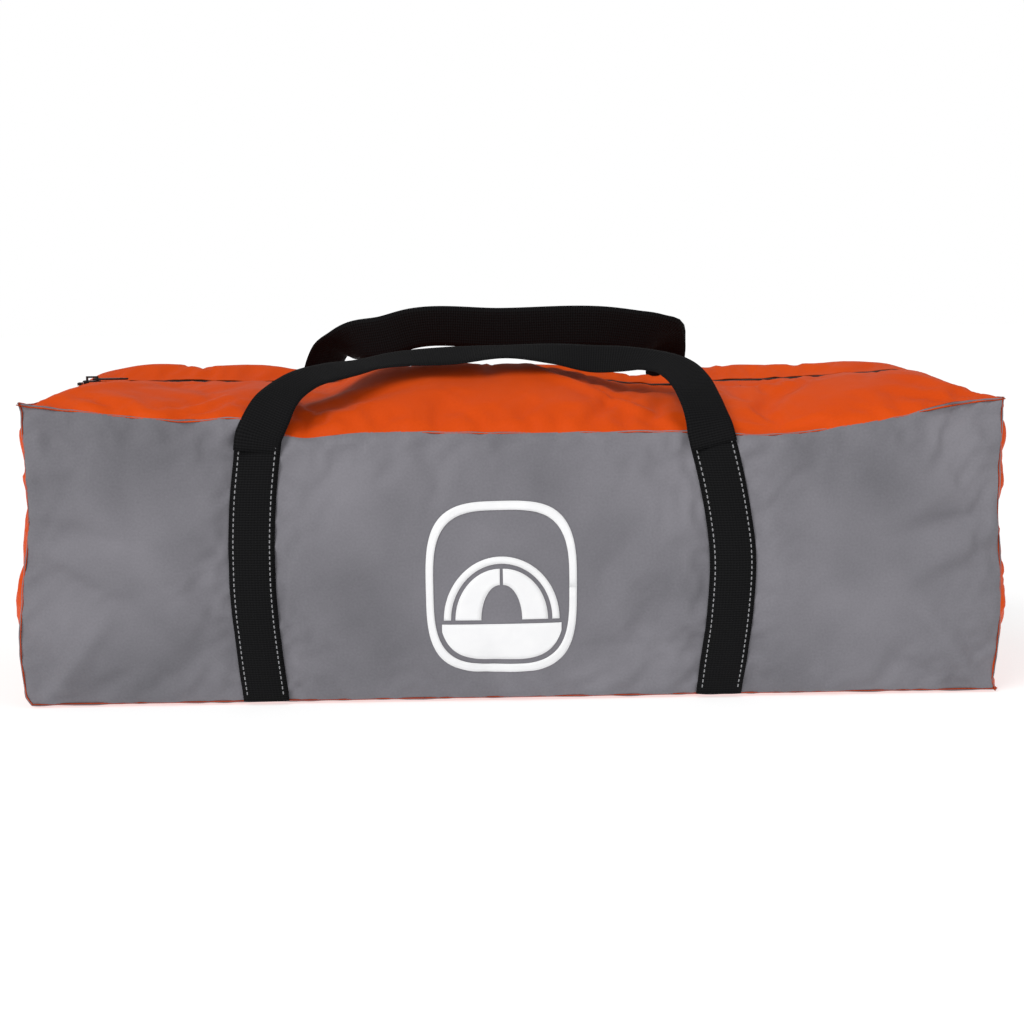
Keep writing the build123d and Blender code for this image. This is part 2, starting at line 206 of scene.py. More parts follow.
TOP_FOLDS = [
    ((-322, -96), (-262, -48), 9, 4.0),
    ((-316, -70), (-276, -26), 7, -2.6),
    ((326, -92), (268, -52), 9, 4.2),
    ((300, -104), (262, -84), 6, -2.6),
    ((-228, -104), (-198, -84), 6, 2.8),
    ((16, -34), (86, -92), 7, 3.6),
    ((52, -108), (72, -74), 6, -3.0),
    ((96, -104), (106, -66), 7, -3.4),
    ((164, -98), (190, -60), 9, -2.6),
    ((-132, -86), (-70, -62), 10, -2.8),
    ((-318, 92), (-268, 64), 9, 3.0),
    ((-60, 100), (30, 52), 9, 3.0),
    ((320, 94), (264, 62), 10, 3.0),
    ((130, 104), (160, 66), 8, -2.0),
]
END_PANEL_FOLDS = [
    ((-100, 200), (-48, 120), 11, 3.2),
    ((100, 202), (52, 132), 11, 3.0),
    ((-100, 6), (-56, 50), 8, 2.6),
    ((100, 6), (60, 44), 8, -2.4),
]


def folded(relief, a, b, folds, end=1):
    """The relief with each fold of a list added, turned over to the other side for end -1."""
    for start, stop, width, height in folds:
        start, stop = (end * start[0], start[1]), (end * stop[0], stop[1])
        relief = relief + fold(a, b, start, stop, width, height)
    return relief


def side_relief(x, z, straps, seed):
    """Waves, puckers and dents of the front or rear panel."""
    broad = 2.6 * waves(x, 0.8 * z, 160, seed) + 0.8 * waves(x, z, 70, seed + 5)
    relief = broad * np.clip(z / 40, 0, 1)
    for number, strap_x in enumerate(straps):
        away = np.abs(x - strap_x(z)) - WEBBING_WIDTH / 2
        relief += 2.0 * puckers(z, away, 25, 17, seed + 11 * number) * np.clip((away + 1) / 9, 0, 1)
        relief -= 2.2 * np.exp(-((away / 9) ** 2))
    below_seam = 192 - z
    relief += 1.4 * puckers(x, below_seam, 34, 20, seed + 31)
    relief += 1.2 * puckers(x, z, 34, 14, seed + 41)
    from_edge = 340 - np.abs(x)
    relief += 2.0 * puckers(z, from_edge, 26, 26, seed + 51) * np.clip(from_edge / 8, 0, 1)
    for end in (-1, 1):
        relief = folded(relief, x, z, PANEL_END_FOLDS, end)
    return relief


def front_relief(x, z):
    return folded(side_relief(x, z, FRONT_STRAP_X, 3), x, z, FRONT_FOLDS)


def rear_relief(x, z):
    return folded(side_relief(x, z, REAR_STRAP_X, 7), x, z, REAR_FOLDS)


def top_relief(x, y):
    """Crumples of the top, most of them along the seams and at the ears."""
    edge = seam_y(x)
    from_seam = edge - np.abs(y)
    ears = 0.8 + 0.5 * np.exp(-(((np.abs(x) - 300) / 46) ** 2))
    relief = 1.8 * waves(x, y, 130, 61) + 0.4 * waves(x, y, 50, 62)
    relief = relief * np.clip((np.abs(y) - 6) / 16, 0, 1)
    relief += 1.0 * ears * puckers(x, from_seam, 27, 20, 63)
    relief += 0.45 * puckers(x, np.abs(y) - SLOT_Y, 22, 12, 64)
    relief *= 1 - 0.7 * np.exp(-(((y - 26) / 15) ** 2))
    return folded(relief, x, y, TOP_FOLDS)


def end_relief(y, z, end):
    relief = 1.4 * waves(y, z, 90, 71 + end) + 0.7 * waves(y, z, 38, 75 + end)
    from_edge = 108 - np.abs(y)
    relief += 1.2 * puckers(z, from_edge, 26, 18, 81 + end)
    relief += 0.9 * puckers(y, EAR_Z - z, 26, 18, 85 + end)
    return folded(relief, y, z, END_PANEL_FOLDS)


# ---- Shell of the bag ----
def plateau(share, power):
    """1 across the middle of 0 to 1, falling to 0 at both ends."""
    return 1 - np.abs(2 * share - 1) ** power


def between_edges(low, high, start, end, u, v):
    """Surface filled in between four edges that share their corners."""
    corners = (
        (1 - u) * (1 - v) * start[:, :1] + (1 - u) * v * start[:, -1:]
        + u * (1 - v) * end[:, :1] + u * v * end[:, -1:]
    )
    return (1 - v) * low + v * high + (1 - u) * start + u * end - corners


def shell_grids():
    """The six panels as grids of points that meet edge to edge."""
    along = np.linspace(0, 1, LENGTH_STEPS + 1)[:, None]
    slot_side = SLOT_Y / MIDDLE_SEAM_Y
    half = np.linspace(slot_side, 1, WIDTH_STEPS // 2)
    across = np.concatenate([-half[::-1], [0.0], half])
    up = np.linspace(0, 1, HEIGHT_STEPS + 1)[None, :]

    end_x = TOP_END_X - TOP_END_INSET * (1 - across[None, :] ** 2)
    x = end_x * (2 * along - 1)
    side = np.broadcast_to(across[None, :], x.shape)
    top = np.stack([x, side * seam_y(x), top_surface(x, side)], axis=-1)
    x = BASE_END_X * (2 * along - 1) * np.ones_like(side)
    bottom = np.stack([x, side * BASE_Y, np.full_like(x, BASE_SEAM_Z)], axis=-1)

    def corner(end, face):
        z = BASE_SEAM_Z + (top[0 if end < 0 else -1, 0 if face < 0 else -1, 2] - BASE_SEAM_Z) * up[0]
        share = up[0]
        y = BASE_Y + (EAR_Y - BASE_Y) * share + CORNER_BULGE * np.sin(math.pi * share)
        edge = np.stack([end * CORNER_X[end, face](z), face * y, z], axis=-1)
        i, j = (0 if end < 0 else -1), (0 if face < 0 else -1)
        edge[0], edge[-1] = bottom[i, j], top[i, j]
        return edge

    u, v = along[..., None], up[..., None]
    sides = {}
    for name, face in (("front", -1), ("rear", 1)):
        j = 0 if face < 0 else -1
        grid = between_edges(
            bottom[:, j][:, None], top[:, j][:, None],
            corner(-1, face)[None], corner(1, face)[None], u, v,
        )
        grid[..., 1] += face * SIDE_BULGE * plateau(along, 6) * plateau(up, 2)
        sides[name] = grid
    side_share = (across[:, None] + 1) / 2
    for name, end in (("left", -1), ("right", 1)):
        i = 0 if end < 0 else -1
        grid = between_edges(
            bottom[i][:, None], top[i][:, None],
            corner(end, -1)[None], corner(end, 1)[None], side_share[..., None], v,
        )
        grid[..., 0] += end * END_BULGE * plateau(side_share, 2.4) * plateau(up, 2.4)
        sides[name] = grid
    return {**sides, "top": top, "bottom": bottom}


OUTWARD_FLIP = {"front": False, "rear": True, "left": True, "right": False, "top": False, "bottom": True}


def quads_of(shape, keep=None, flip=False):
    index = np.arange(shape[0] * shape[1]).reshape(shape[:2])
    cells = np.stack([index[:-1, :-1], index[1:, :-1], index[1:, 1:], index[:-1, 1:]], axis=-1)
    if flip:
        cells = cells[..., ::-1]
    return cells.reshape(-1, 4) if keep is None else cells[keep]


def normals_of(points, quads):
    a, b, c, d = (points[quads[:, n]] for n in range(4))
    face = np.cross(c - a, d - b)
    total = np.zeros_like(points)
    for n in range(4):
        np.add.at(total, quads[:, n], face)
    return total / np.maximum(np.linalg.norm(total, axis=1, keepdims=True), 1e-9)


def grid_normals(grid, flip):
    points = grid.reshape(-1, 3)
    return normals_of(points, quads_of(grid.shape, flip=flip)).reshape(grid.shape)


def lattice_ids(grids):
    """Numbers each point of the six grids once, with shared edges sharing their numbers."""
    place = {
        "front": lambda a, b: (a, 0, b), "rear": lambda a, b: (a, WIDTH_STEPS, b),
        "left": lambda a, b: (0, a, b), "right": lambda a, b: (LENGTH_STEPS, a, b),
        "top": lambda a, b: (a, b, HEIGHT_STEPS), "bottom": lambda a, b: (a, b, 0),
    }
    numbers, ids = {}, {}
    for name, grid in grids.items():
        rows, columns = grid.shape[:2]
        ids[name] = np.array(
            [[numbers.setdefault(place[name](a, b), len(numbers)) for b in range(columns)]
             for a in range(rows)]
        )
    return ids


def welded(grids, ids):
    points = np.zeros((max(part.max() for part in ids.values()) + 1, 3))
    for name, grid in grids.items():
        points[ids[name].ravel()] = grid.reshape(-1, 3)
    return points


def shell_quads(grids, ids):
    parts = [
        ids[name].ravel()[quads_of(grid.shape, flip=OUTWARD_FLIP[name])] for name, grid in grids.items()
    ]
    return np.concatenate(parts)


def relief_of(grids):
    reliefs = {}
    for name, grid in grids.items():
        x, y, z = np.moveaxis(grid, -1, 0)
        if name == "front":
            reliefs[name] = front_relief(x, z)
        elif name == "rear":
            reliefs[name] = rear_relief(x, z)
        elif name == "top":
            reliefs[name] = top_relief(x, y)
        elif name == "bottom":
            reliefs[name] = np.full_like(x, BASE_SEAM_Z - FLOOR_CLEARANCE) * plateau((x + 334) / 668, 24)
            reliefs[name] *= plateau((y + BASE_Y) / (2 * BASE_Y), 12)
        else:
            reliefs[name] = end_relief(y, z, -1 if name == "left" else 1)
    return reliefs


def raised(grids, ids):
    """Every grid with its relief, the same on both sides of a seam."""
    points, quads = welded(grids, ids), shell_quads(grids, ids)
    normals = normals_of(points, quads)
    total, count = np.zeros(len(points)), np.zeros(len(points))
    for name, relief in relief_of(grids).items():
        np.add.at(total, ids[name].ravel(), relief.ravel())
        np.add.at(count, ids[name].ravel(), 1)
    height = total / count
    height[count > 1] *= SEAM_RELIEF
    points = points + normals * height[:, None]
    points[:, 2] = np.maximum(points[:, 2], FLOOR_CLEARANCE)
    return {name: points[ids[name]] for name in grids}


# ---- Cloth simulation of the shell ----
CLOTH_FRAMES = 22
MOST_MOVE = 5.5
CLOTH_SETTINGS = {
    "quality": 4, "mass": 0.12,
    "tension_stiffness": 12, "compression_stiffness": 12, "shear_stiffness": 4, "bending_stiffness": 0.15,
    "tension_damping": 8, "compression_damping": 8,
    "vertex_group_mass": "held", "shrink_min": -0.022,
    "use_pressure": True, "uniform_pressure_force": 0.35,
}


def held_points(grids, ids):
    """Points that stay: seams, the sewn webbing, the zip and what lies on the floor."""
    held = set()
    for name, grid in grids.items():
        number = ids[name]
        held.update(number[0].tolist() + number[-1].tolist())
        held.update(number[:, 0].tolist() + number[:, -1].tolist())
        x, y, z = np.moveaxis(grid, -1, 0)
        if name in ("front", "rear"):
            for strap_x in FRONT_STRAP_X if name == "front" else REAR_STRAP_X:
                held.update(number[np.abs(x - strap_x(z)) < WEBBING_WIDTH / 2 - 2].tolist())
        if name == "top":
            held.update(number[np.abs(y) < SLOT_Y + 1].tolist())
        if name == "bottom":
            held.update(number.ravel().tolist())
    return sorted(held)


def settled(grids, ids):
    """The shell after its slightly generous cloth has filled out between the sewn lines."""
    points, quads = welded(grids, ids), shell_quads(grids, ids)
    mesh = bpy.data.meshes.new("settling")
    mesh.from_pydata((points * MM).tolist(), [], quads.tolist())
    body = bpy.data.objects.new("settling", mesh)
    bpy.context.scene.collection.objects.link(body)
    body.vertex_groups.new(name="held").add(held_points(grids, ids), 1.0, "REPLACE")
    cloth = body.modifiers.new("cloth", "CLOTH")
    for setting, value in CLOTH_SETTINGS.items():
        setattr(cloth.settings, setting, value)
    cloth.settings.effector_weights.gravity = 0
    cloth.collision_settings.use_collision = False
    scene = bpy.context.scene
    cloth.point_cache.frame_start, cloth.point_cache.frame_end = 1, CLOTH_FRAMES
    for number in range(1, CLOTH_FRAMES + 1):
        scene.frame_set(number)
    moved = body.evaluated_get(bpy.context.evaluated_depsgraph_get()).data
    after = np.zeros(len(points) * 3)
    moved.vertices.foreach_get("co", after)
    step = after.reshape(-1, 3) / MM - points
    size = np.linalg.norm(step, axis=1, keepdims=True)
    step *= np.tanh(size / MOST_MOVE) * MOST_MOVE / np.maximum(size, 1e-6)
    bpy.data.objects.remove(body)
    bpy.data.meshes.remove(mesh)
    scene.frame_set(1)
    points = points + step
    points[:, 2] = np.maximum(points[:, 2], FLOOR_CLEARANCE)
    return {name: points[ids[name]] for name in grids}


def finer(grid):
    """The same smooth surface with one more row between every two, both ways."""
    for axis in (0, 1):
        rows = np.moveaxis(grid, axis, 0)
        wide = np.concatenate([2 * rows[:1] - rows[1:2], rows, 2 * rows[-1:] - rows[-2:-1]])
        middle = (9 * (wide[1:-2] + wide[2:-1]) - wide[:-3] - wide[3:]) / 16
        result = np.empty((2 * len(rows) - 1,) + rows.shape[1:])
        result[0::2], result[1::2] = rows, middle
        grid = np.moveaxis(result, 0, axis)
    return grid


# ---- Meshes ----
def new_piece(name, points, faces, material, weave=None, normals=None):
    mesh = bpy.data.meshes.new(name)
    mesh.from_pydata((np.asarray(points) * MM).tolist(), [], [list(map(int, face)) for face in faces])
    mesh.materials.append(material)
    mesh.polygons.foreach_set("use_smooth", np.ones(len(mesh.polygons), bool))
    if weave is not None:
        layer = mesh.attributes.new("weave", "FLOAT_VECTOR", "POINT")
        layer.data.foreach_set("vector", (np.asarray(weave, float) * MM).ravel())
    mesh.update()
    if normals is not None:
        mesh.normals_split_custom_set_from_vertices(normals.tolist())
    piece = bpy.data.objects.new(name, mesh)
    bpy.context.scene.collection.objects.link(piece)
    return piece


def thickened(points, normals, quads, depth):
    """A closed sheet: the given face, its copy depth further in, and the rim."""
    used, quads = np.unique(quads, return_inverse=True)
    quads = quads.reshape(-1, 4)
    count = len(used)
    outer = points[used]
    inner = outer - normals[used] * depth
    starts = quads.ravel()
    ends = np.roll(quads, -1, axis=1).ravel()
    rim = ~np.isin(starts * count + ends, ends * count + starts)
    a, b = starts[rim], ends[rim]
    rim_quads = np.stack([b, a, a + count, b + count], axis=1)
    faces = np.concatenate([quads, quads[:, ::-1] + count, rim_quads])
    return used, np.concatenate([outer, inner]), faces


def cloth_piece(name, grid, normals, material, weave, keep=None, flip=False, depth=CLOTH):
    quads = quads_of(grid.shape, keep, flip)
    flat_normals = normals.reshape(-1, 3)
    used, points, faces = thickened(grid.reshape(-1, 3), flat_normals, quads, depth)
    own = weave.reshape(-1, 3)[used]
    both = np.concatenate([flat_normals[used], -flat_normals[used]])
    return new_piece(name, points, faces, material, np.concatenate([own, own]), both)


def ring_faces(rings, size):
    """Faces between each ring of points and the next."""
    faces = []
    for row in range(rings - 1):
        for n in range(size):
            m = (n + 1) % size
            faces.append([row * size + n, row * size + m, (row + 1) * size + m, (row + 1) * size + n])
    return faces


def joined(parts):
    """Several (points, faces) lists as one."""
    points, faces, shift = [], [], 0
    for part_points, part_faces in parts:
        points.append(np.asarray(part_points, float))
        faces += [[n + shift for n in face] for face in part_faces]
        shift += len(part_points)
    return np.concatenate(points), faces


# ---- Materials ----
class Look:
    """A material with its shader, and short ways to add nodes to it."""

    def __init__(self, name, **shader):
        self.material = bpy.data.materials.new(name)
        self.material.use_nodes = True
        self.tree = self.material.node_tree
        self.shader = self.tree.nodes["Principled BSDF"]
        for socket, value in shader.items():
            self.shader.inputs[socket.replace("_", " ")].default_value = value

    def add(self, kind, settings=(), **inputs):
        node = self.tree.nodes.new(kind)
        for key, value in dict(settings).items():
            setattr(node, key, value)
        for key, value in inputs.items():
            socket = node.inputs[int(key[1:])] if key[0] == "n" and key[1:].isdigit() else node.inputs[key]
            if isinstance(value, bpy.types.NodeSocket):
                self.tree.links.new(value, socket)
            else:
                socket.default_value = value
        return node

    def finished(self, base, roughness, normal):
        """The material, with its colour, roughness and relief led into the shader."""
        for value, socket in ((base, "Base Color"), (roughness, "Roughness"), (normal, "Normal")):
            self.tree.links.new(value, self.shader.inputs[socket])
        return self.material

    def place(self, on_cloth):
        if on_cloth:
            return self.add("ShaderNodeAttribute", {"attribute_name": "weave"}).outputs["Vector"]
        return self.add("ShaderNodeTexCoord").outputs["Object"]

    def noise(self, place, size, detail=3.0):
        return self.add("ShaderNodeTexNoise", Vector=place, Scale=1 / size, Detail=detail).outputs["Fac"]

    def bands(self, place, pitch, direction, profile="SIN", distortion=0.0):
        settings = {"bands_direction": direction, "wave_profile": profile}
        scale = 2 * math.pi / (20 * pitch)
        node = self.add("ShaderNodeTexWave", settings, Vector=place, Scale=scale, Distortion=distortion)
        return node.outputs["Fac"]

    def mix(self, share, low, high):
        node = self.add("ShaderNodeMix", {"data_type": "RGBA"}, n0=share, n6=low, n7=high)
        return node.outputs[2]

    def math(self, operation, first, second):
        return self.add("ShaderNodeMath", {"operation": operation}, n0=first, n1=second).outputs[0]

    def plain_weave(self, place, pitch):
        """Height of threads that cross each other."""
        return self.math("MULTIPLY", self.bands(place, pitch, "X"), self.bands(place, pitch, "Y"))

    def spread(self, value, low, high, from_low=0.25, from_high=0.75):
        node = self.add("ShaderNodeMapRange", n0=value, n1=from_low, n2=from_high, n3=low, n4=high)
        return node.outputs[0]

    def bump(self, height, depth, strength=1.0, normal=None):
        inputs = {"Height": height, "Distance": depth, "Strength": strength}
        if normal is not None:
            inputs["Normal"] = normal
        return self.add("ShaderNodeBump", **inputs).outputs["Normal"]


def colour(red, green, blue):
    """sRGB 0 to 255, as the shader wants it."""
    linear = [((c / 255 + 0.055) / 1.055) ** 2.4 if c > 10 else c / 255 / 12.92 for c in (red, green, blue)]
    return (*linear, 1.0)


def polyester(name, base, shade, crinkle=1.0, weave_pitch=0.00055, on_cloth=True):
    """Smooth coated polyester with a fine plain weave, small crinkles and a silky sheen."""
    look = Look(name, Sheen_Weight=0.01, Sheen_Roughness=0.35, Specular_IOR_Level=0.06)
    place = look.place(on_cloth)
    blotches = look.noise(place, 0.11, 3.0)
    threads = look.noise(place, 0.0016, 1.0)
    tone = look.spread(look.math("ADD", look.math("MULTIPLY", blotches, 0.8),
                                 look.math("MULTIPLY", threads, 0.2)), 0.0, 1.0, 0.3, 0.7)
    base_colour = look.mix(tone, base, shade)
    roughness = look.spread(look.noise(place, 0.03, 2.0), 0.40, 0.54)
    creases = look.noise(place, 0.022, 5.0)
    normal = look.bump(creases, 0.0008 * crinkle, 0.35)
    normal = look.bump(look.plain_weave(place, weave_pitch), 0.00006, 0.5, normal)
    return look.finished(base_colour, roughness, normal)


def webbing_look(name, ridge, shaded_groove, rib=0.00175):
    """Woven strap with ribs across it and fine cords along it, coloured darker in the grooves as painted
    shade and lighter on the tops as painted highlight, with a random fuzz.
    """
    look = Look(name, Specular_IOR_Level=0.08)
    place = look.place(True)
    ribs = look.bands(place, rib, "Y", "SIN", 0.6)
    cords = look.bands(place, 0.0021, "X")
    height = look.math("ADD", look.math("MULTIPLY", ribs, 0.7), look.math("MULTIPLY", cords, 0.3))
    fuzz = look.noise(place, 0.0009, 2.0)
    # painted shade and highlight: the weave's height sets the colour between the dark groove colour and the
    # light ridge colour; the fuzz varies it at random
    tone = look.math("MULTIPLY", height, look.spread(fuzz, 0.5, 1.3))
    base_colour = look.mix(tone, shaded_groove, ridge)
    roughness = look.spread(fuzz, 0.62, 0.85)
    return look.finished(base_colour, roughness, look.bump(height, 0.0004, 0.8, look.bump(fuzz, 0.0002, 0.4)))


def metal_look(name, base, shade, roughness, metallic, grain=0.004):
    look = Look(name, Metallic=metallic, Specular_IOR_Level=0.5)
    place = look.place(False)
    spots = look.noise(place, grain, 3.0)
    worn = look.spread(spots, roughness - 0.06, roughness + 0.08)
    normal = look.bump(look.noise(place, grain / 4, 2.0), 0.00003, 0.4)
    return look.finished(look.mix(spots, base, shade), worn, normal)


def print_look():
    """White transfer ink with the cloth's weave showing faintly."""
    look = Look("badge_ink", Specular_IOR_Level=0.35)
    place = look.place(True)
    wear = look.noise(place, 0.012, 4.0)
    base_colour = look.mix(wear, colour(247, 247, 247), colour(236, 236, 238))
    roughness = look.spread(wear, 0.42, 0.55)
    return look.finished(base_colour, roughness, look.bump(look.plain_weave(place, 0.0006), 0.00004, 0.4))


def thread_look():
    look = Look("pale_thread", Sheen_Weight=0.2, Specular_IOR_Level=0.3)
    place = look.place(False)
    twist = look.bands(place, 0.0007, "DIAGONAL")
    # painted shade and highlight: the colour is darker in the twist's grooves and lighter on its crests
    base_colour = look.mix(twist, colour(118, 118, 121), colour(170, 170, 172))
    roughness = look.spread(look.noise(place, 0.001, 1.0), 0.6, 0.8)
    return look.finished(base_colour, roughness, look.bump(twist, 0.0001, 0.6))


def tie_look():
    """Narrow tie webbing, ribbed along its width, coloured darker between the ribs as painted shade and
    lighter on them as painted highlight.
    """
    look = Look("tie_strap", Sheen_Weight=0.1, Specular_IOR_Level=0.3)
    place = look.place(False)
    ribs = look.bands(place, 0.0013, "X")
    fuzz = look.noise(place, 0.001, 2.0)
    # painted shade and highlight: the ribs' height sets the colour from dark between them to light on their
    # tops
    base_colour = look.mix(ribs, colour(14, 14, 15), colour(46, 46, 47))
    roughness = look.spread(fuzz, 0.6, 0.82)
    return look.finished(base_colour, roughness, look.bump(ribs, 0.0003, 0.8))


def make_materials():
    return {
        "grey": polyester("grey_polyester", colour(133, 131, 137), colour(107, 106, 111)),
        "orange": polyester("orange_polyester", colour(221, 80, 18), colour(205, 69, 13), 1.2),
        # black webbing: grooves painted darker as painted shade, ridges painted lighter as painted highlight
        "webbing": webbing_look("black_webbing", colour(25, 25, 26), colour(7, 7, 8)),
        "ties": tie_look(),
        "thread": thread_look(),
        "ink": print_look(),
        # zip tape: the same painted shade in its grooves and painted highlight on its ridges
        "tape": webbing_look("zip_tape", colour(34, 34, 36), colour(14, 14, 15), 0.0009),
        "coil": metal_look("zip_coil", colour(30, 30, 32), colour(20, 20, 22), 0.4, 0.0),
        "zip_metal": metal_look("zip_metal", colour(34, 34, 36), colour(22, 22, 23), 0.3, 0.4),
        "steel": metal_look("bright_steel", (0.62, 0.63, 0.64, 1), (0.5, 0.51, 0.52, 1), 0.28, 1.0),
        "glass_fibre": metal_look("fibreglass", colour(48, 50, 54), colour(38, 40, 44), 0.36, 0.0, 0.02),
        "buckle": metal_look("buckle_plastic", colour(36, 36, 37), colour(26, 26, 27), 0.42, 0.0),
        "groundsheet": polyester("groundsheet_cloth", colour(98, 102, 106), colour(84, 88, 92), 1.3, 0.0016),
        "inner": polyester("inner_tent_cloth", colour(186, 186, 188), colour(172, 172, 175), 1.2),
        "fly": polyester("flysheet_cloth", colour(128, 126, 131), colour(110, 109, 114), 1.2),
        "small_bag": polyester("small_bag_cloth", colour(62, 62, 66), colour(50, 50, 53), 1.0),
    }


# ---- Bag panels as pieces ----
def groove_seams(grid, normals):
    """Pulls the outermost row of a panel in, where it is sewn to its neighbour."""
    depth = np.zeros(grid.shape[:2])
    for row, share in ((0, 1.0), (1, 0.3)):
        for line in (np.s_[row, :], np.s_[-1 - row, :], np.s_[:, row], np.s_[:, -1 - row]):
            depth[line] = np.maximum(depth[line], share * SEAM_GROOVE)
    return grid - normals * depth[..., None]


def weave_of(grid, name):
    x, y, z = np.moveaxis(grid, -1, 0)
    if name in ("front", "rear"):
        return np.stack([x, z, y * 0], axis=-1)
    if name in ("left", "right"):
        return np.stack([y, z, x * 0 + 900], axis=-1)
    return np.stack([x, y, z * 0 + 400], axis=-1)


def make_panels(grids, materials):
    """Plain panels ride on the bag; the top is made as four quarters."""
    for name, grid in grids.items():
        flip = OUTWARD_FLIP[name]
        grid = groove_seams(grid, grid_normals(grid, flip))
        normals = grid_normals(grid, flip)
        weave = weave_of(grid, name)
        if name == "top":
            make_top(grid, normals, weave, materials["orange"])
            continue
        material = materials["grey" if name in ("front", "rear") else "orange"]
        panel = cloth_piece(f"bag_{name}", grid, normals, material, weave, flip=flip)
        suffix = "_end_panel" if name in ("left", "right") else "_panel"
        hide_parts(name + suffix)
        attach(panel, "root")


def make_top(grid, normals, weave, material):
    rows, columns = grid.shape[0] - 1, grid.shape[1] - 1
    i, j = np.meshgrid(np.arange(rows), np.arange(columns), indexing="ij")
    middle = columns // 2
    slot = (j >= middle - 2) & (j < middle + 2)
    closed = (i < SLOT_END_CELLS) | (i >= rows - SLOT_END_CELLS)
    strips = {"front": (j < middle - 2) | (slot & closed), "rear": j >= middle + 2}
    for strip, on_strip in strips.items():
        for end, on_end in (("left", i < rows // 2), ("right", i >= rows // 2)):
            quarter = cloth_piece(
                f"bag_top_{strip}_{end}", grid, normals, material, weave, keep=on_strip & on_end
            )
            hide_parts(f"{strip}_top_panel", f"{end}_top_panel")
            open_towards_middle(quarter)


def open_towards_middle(piece):
    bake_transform(piece)


# ---- Zip ----
def make_zip(materials):
    for strip, face in (("front", -1), ("rear", 1)):
        for end, side in (("left", -1), ("right", 1)):
            steps = np.linspace(0, TAPE_END_X * side, 110)
            across = np.linspace(0.8, TAPE_Y, 6) * face
            x, y = np.meshgrid(steps, across, indexing="ij")
            z = top_surface(x, y / seam_y(x)) - 1.5 - 0.35 * np.clip(np.abs(y) - 4, 0, 2)
            z = np.where(np.abs(y) > 4, np.minimum(z, crown_z(x) - 1.9), z)
            grid = np.stack([x, y, z], axis=-1)
            flip = side * face < 0
            weave = np.stack([y, x, 0 * x], axis=-1)
            tape = cloth_piece(
                f"zip_tape_{strip}_half_{end}", grid, grid_normals(grid, flip), materials["tape"],
                weave, flip=flip, depth=TAPE,
            )
            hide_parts(f"zip_tape_{strip}", f"zip_tape_{end}_end")
            open_towards_middle(tape)
            coil = new_piece(f"zip_teeth_{strip}_{end}", *zip_teeth(face, side), materials["coil"])
            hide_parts(f"zip_coil_{strip}", f"zip_coil_{end}_end")
            open_towards_middle(coil)


def zip_teeth(face, side):
    """One half's teeth from the middle to one end, each a small block with a rounded head."""
    outline = np.array([(-0.35, 0.1), (-0.55, 0.45), (0.0, 0.62), (0.55, 0.45), (0.35, 0.1)])
    reach = np.array([0.2, 0.9, TOOTH_REACH])
    parts = []
    count = int(COIL_END_X / TOOTH_PITCH)
    for number in range(count):
        x = side * (number + 0.5 + 0.25 * face) * TOOTH_PITCH
        z = float(crown_z(x)) - 0.75
        points = np.array([
            (x + dx * 0.95, face * away, z + (dz * 1.9 + 0.1) * height)
            for away, height in zip(reach, (0.75, 1.25, 1.0)) for dx, dz in outline
        ])
        size = len(outline)
        caps = [list(range(size))[::-1], [2 * size + n for n in range(size)]]
        faces = caps + ring_faces(len(reach), size)
        if face > 0:
            faces = [one[::-1] for one in faces]
        parts.append((points, faces))
    return joined(parts)


# ---- Webbing ----
STRAP_ACROSS = np.linspace(-1, 1, 11)
LEAST_PANEL_Y = 95.0


def strap_section(across):
    """Share of the full thickness at a place across the webbing, rounded at its edges."""
    return (1 - np.abs(across) ** 8) ** 0.5


def band_mesh(centres, widths, normals, width=WEBBING_WIDTH, depth=WEBBING):
    """Closed flat band along centres, with its width along widths and its face along normals."""
    offset = STRAP_ACROSS[None, :, None] * (width / 2) * widths[:, None, :]
    section = 0.25 + 0.75 * strap_section(STRAP_ACROSS)
    rise = 0.5 * depth * section[None, :, None] * normals[:, None, :]
    upper = centres[:, None, :] + offset + rise
    lower = centres[:, None, :] + offset - rise
    return closed_band(upper, lower)


def closed_band(upper, lower):
    """Faces round a band given by the grids of its two sides."""
    count, across = upper.shape[:2]
    ring = np.concatenate([upper, lower[:, ::-1]], axis=1)
    size = 2 * across
    points = ring.reshape(-1, 3)
    faces = ring_faces(count, size)
    for row, turn in ((0, 1), (count - 1, -1)):
        for n in range(across - 1):
            cap = [row * size + n, row * size + size - 1 - n, row * size + size - 2 - n, row * size + n + 1]
            faces.append(cap[::turn])
    return points, faces


def band_weave(points, count, width):
    """Weave coordinates of a band: across, then along."""
    ring = points.reshape(count, -1, 3)
    middle = ring.mean(axis=1)
    along = np.concatenate([[0], np.cumsum(np.linalg.norm(np.diff(middle, axis=0), axis=1))])
    half = np.concatenate([STRAP_ACROSS, STRAP_ACROSS[::-1]]) * width / 2
    grid = np.zeros(ring.shape)
    grid[..., 0] = half[None, :]
    grid[..., 1] = along[:, None]
    return grid.reshape(-1, 3)


